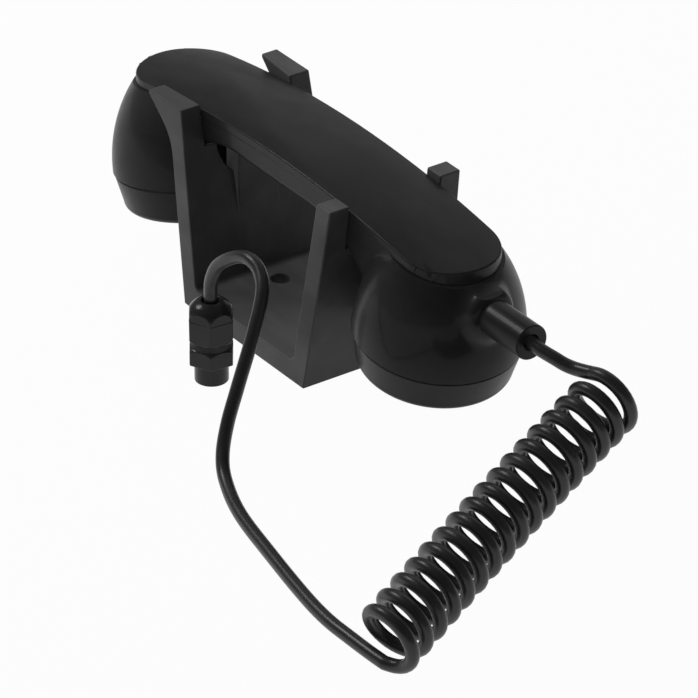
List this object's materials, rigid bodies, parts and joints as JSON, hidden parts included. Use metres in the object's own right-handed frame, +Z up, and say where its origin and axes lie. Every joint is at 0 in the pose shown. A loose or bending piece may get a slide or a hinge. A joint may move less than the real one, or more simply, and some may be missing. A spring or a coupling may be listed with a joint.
{
  "type": "intercom handset with cradle",
  "caption": "Black audio intercom handset with round ear and mouth cups lying in a pronged cradle, with a curly cord that ends in a cable gland.",
  "frame": {"origin": "middle of the cradle's underside, on the surface that it is screwed to", "axes": "+X along the handset towards its mouthpiece and cord boot, +Z up out of the cradle"},
  "size_m": [0.3158, 0.1436, 0.0751],
  "materials": {
    "cradle_plastic": "satin dark charcoal",
    "handset_plastic": "satin black",
    "cord_rubber": "satin black",
    "seal_rubber": "matt black",
    "gland_plastic": "gloss black",
    "magnet_metal": "plain",
    "capsule_case": "plain",
    "board_laminate": "varnished green",
    "reed_moulding": "matt",
    "sound_cloth": "woven",
    "holder_plastic": "matt"
  },
  "bodies": {
    "cradle": {"cradle": "cradle_plastic", "hook_magnet": "magnet_metal", "magnet_plug": "cradle_plastic", "cord_coil": "cord_rubber", "tail_lead": "cord_rubber", "gland_body": "gland_plastic", "gland_ring_seal": "seal_rubber", "gland_insert": "seal_rubber", "gland_nut": "gland_plastic"},
    "handset": {"handset_body": "handset_plastic", "back_cover": "handset_plastic", "ear_cap": "handset_plastic", "mouth_cap": "handset_plastic", "ear_seal": "seal_rubber", "mouth_seal": "seal_rubber", "receiver_capsule": "capsule_case", "microphone_capsule": "capsule_case", "receiver_holder": "holder_plastic", "microphone_holder": "holder_plastic", "ear_cloth": "sound_cloth", "mouth_cloth": "sound_cloth", "circuit_board": "board_laminate", "reed_switch": "reed_moulding", "cord_boot": "cord_rubber", "handset_lead": "cord_rubber"}
  },
  "joints": [
    {"name": "handset_tilt", "type": "hinge", "parent": "cradle", "child": "handset", "pos_m": [-0.108, 0, 0.0425], "axis": [0, -1, 0], "range_deg": [0, 10], "deforming": ["handset_lead", "cord_coil"]}
  ]
}
